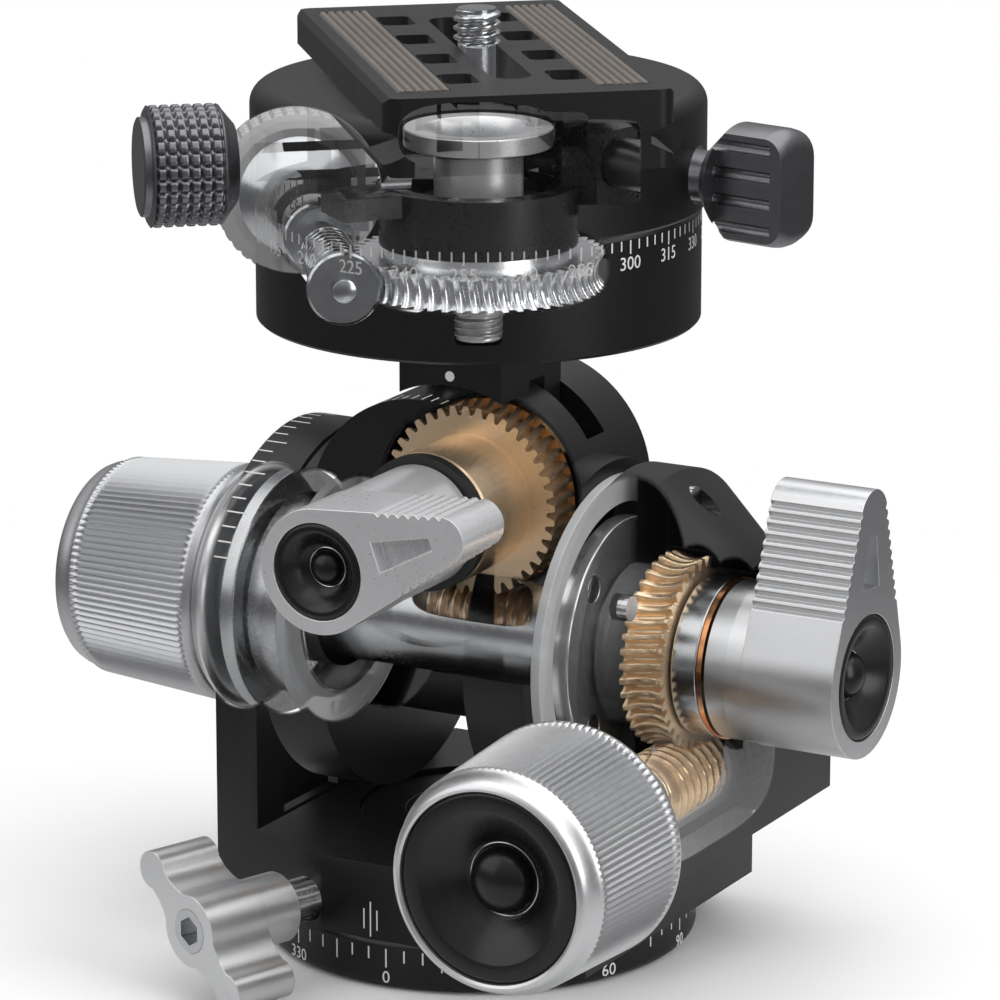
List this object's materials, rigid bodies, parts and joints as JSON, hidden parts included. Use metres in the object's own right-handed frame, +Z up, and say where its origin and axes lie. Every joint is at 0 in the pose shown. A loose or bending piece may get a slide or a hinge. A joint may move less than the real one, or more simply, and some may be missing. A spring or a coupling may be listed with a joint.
{
  "type": "geared tripod head",
  "caption": "Geared tripod head: panning base with wing lock, two worm-driven tilts with knobs and release levers, geared top pan and a screw clamp with a quick-release plate.",
  "frame": {"origin": "centre of the base disc's lower face, at the mouth of the tripod thread", "axes": "+Z up along the pan axis, +Y to the back along the upper tilt axis, +X towards lever 2 along the lower tilt axis"},
  "size_m": [0.1183, 0.0972, 0.1278],
  "materials": {
    "black_anodised": "fine bead-blasted black anodising",
    "black_gloss": "polished black insert",
    "satin_aluminium": "satin turned aluminium",
    "steel": "brushed stainless steel",
    "gear_bronze": "cut gear bronze",
    "bearing_bronze": "plain bearing bronze",
    "copper": "copper washer",
    "clear": "clear cut-away finish",
    "seal_rubber": "matt black seal",
    "pad_rubber": "ribbed warm grey rubber"
  },
  "bodies": {
    "base": {"base_disc": "black_anodised", "pan_retaining_ring": "black_anodised"},
    "fork": {"fork_frame": "black_anodised", "gear_b_housing": "black_anodised", "housing_screws": "steel", "pan_brake_pad": "bearing_bronze", "left_trunnion_bush": "bearing_bronze", "right_trunnion_bush": "bearing_bronze", "left_thrust_washer": "steel", "worm_b_bushes": "bearing_bronze", "worm_b_end_cap": "black_anodised"},
    "wing": {"wing_knob": "satin_aluminium", "wing_bolt": "steel"},
    "lower_worm": {"worm_b": "gear_bronze", "knob_2": "satin_aluminium", "knob_2_cap": "black_gloss"},
    "cradle": {"cradle_frame": "black_anodised", "cradle_rear_cover": "black_anodised", "worm_a_sleeve": "steel", "hollow_trunnion": "steel", "worm_a_front_bush": "bearing_bronze", "trunnion_shaft": "steel", "gear_b": "gear_bronze", "clamp_ring": "steel", "copper_washer": "copper", "side_cover": "clear", "side_cover_screws": "steel", "side_seal_ring": "seal_rubber", "front_seal_ring": "seal_rubber"},
    "lower_lever": {"lever_2": "satin_aluminium", "lever_2_cap": "black_gloss"},
    "upper_worm": {"worm_a": "gear_bronze", "knob_1": "satin_aluminium", "knob_1_collar": "satin_aluminium", "knob_1_cap": "black_gloss"},
    "tilt_head": {"head_arm": "black_anodised", "gear_a": "gear_bronze", "tilt_shaft": "steel", "bronze_washer": "bearing_bronze", "lower_drum": "black_anodised", "axle_screw": "steel", "pan_worm_bush": "bearing_bronze"},
    "upper_lever": {"lever_1": "satin_aluminium", "lever_1_cap": "black_gloss"},
    "pan_drive": {"pan_worm": "steel", "pan_knob": "satin_aluminium"},
    "pan_head": {"upper_housing": "black_anodised", "pan_worm_wheel": "steel", "split_collar": "black_anodised", "collar_screws": "steel", "jaw_screw": "steel", "jaw_guide_pins": "steel"},
    "pan_lock": {"lock_screw": "steel", "lock_knob": "satin_aluminium"},
    "jaw": {"clamp_jaw": "black_anodised"},
    "clamp_nut": {"clamp_knob": "satin_aluminium"},
    "plate": {"quick_plate": "black_anodised", "plate_pads": "pad_rubber"},
    "screw_carrier": {"screw_washer": "steel"},
    "plate_screw": {"camera_screw": "steel"}
  },
  "joints": [
    {"name": "base_pan", "type": "hinge", "parent": "base", "child": "fork", "pos_m": [0, 0, 0.012], "axis": [0, 0, 1], "continuous": true},
    {"name": "wing_turn", "type": "hinge", "parent": "fork", "child": "wing", "pos_m": [-0.01043, -0.02898, 0.01035], "axis": [-0.3387, -0.9409, 0], "range_deg": [0, 40]},
    {"name": "lower_tilt", "type": "hinge", "parent": "fork", "child": "cradle", "pos_m": [0, 0, 0.0436], "axis": [1, 0, 0], "range_deg": [-20, 20]},
    {"name": "lower_worm_turn", "type": "hinge", "parent": "fork", "child": "lower_worm", "pos_m": [0.0315, 0, 0.0264], "axis": [0, 1, 0], "range_deg": [-810, 810]},
    {"name": "lower_lever_turn", "type": "hinge", "parent": "cradle", "child": "lower_lever", "pos_m": [0.05, 0, 0.0436], "axis": [1, 0, 0], "range_deg": [-60, 0]},
    {"name": "upper_tilt", "type": "hinge", "parent": "cradle", "child": "tilt_head", "pos_m": [0, 0, 0.0608], "axis": [0, 1, 0], "range_deg": [-20, 20]},
    {"name": "upper_worm_turn", "type": "hinge", "parent": "cradle", "child": "upper_worm", "pos_m": [-0.03, 0, 0.0436], "axis": [1, 0, 0], "range_deg": [-810, 810]},
    {"name": "upper_lever_turn", "type": "hinge", "parent": "tilt_head", "child": "upper_lever", "pos_m": [0, -0.03, 0.0608], "axis": [0, -1, 0], "range_deg": [0, 60]},
    {"name": "head_pan", "type": "hinge", "parent": "tilt_head", "child": "pan_head", "pos_m": [0, 0, 0.1], "axis": [0, 0, 1], "continuous": true},
    {"name": "pan_worm_turn", "type": "hinge", "parent": "tilt_head", "child": "pan_drive", "pos_m": [-0.01557, -0.01144, 0.0926], "axis": [-0.592, 0.8059, 0], "continuous": true},
    {"name": "pan_lock_turn", "type": "hinge", "parent": "pan_head", "child": "pan_lock", "pos_m": [0.02159, 0.00726, 0.1072], "axis": [0.9848, -0.1736, 0], "range_deg": [0, 90]},
    {"name": "jaw_slide", "type": "slide", "parent": "pan_head", "child": "jaw", "axis": [-0.7627, -0.6468, 0], "range_m": [0, 0.003]},
    {"name": "clamp_knob_turn", "type": "hinge", "parent": "jaw", "child": "clamp_nut", "pos_m": [-0.02746, -0.02328, 0.1082], "axis": [-0.7627, -0.6468, 0], "range_deg": [0, 1355]},
    {"name": "plate_slide", "type": "slide", "parent": "pan_head", "child": "plate", "axis": [-0.6468, 0.7627, 0], "range_m": [-0.02, 0.02]},
    {"name": "screw_slide", "type": "slide", "parent": "plate", "child": "screw_carrier", "axis": [-0.6468, 0.7627, 0], "range_m": [-0.021, 0.019]},
    {"name": "camera_screw_turn", "type": "hinge", "parent": "screw_carrier", "child": "plate_screw", "pos_m": [-0.00065, 0.00076, 0.115], "axis": [0, 0, 1], "continuous": true}
  ],
  "couplings": [
    {"joint": "lower_worm_turn", "follows": "lower_tilt", "ratio": -40},
    {"joint": "upper_worm_turn", "follows": "upper_tilt", "ratio": 40},
    {"joint": "pan_worm_turn", "follows": "head_pan", "ratio": 52},
    {"joint": "clamp_knob_turn", "follows": "jaw_slide", "rad_per_m": 7854}
  ]
}
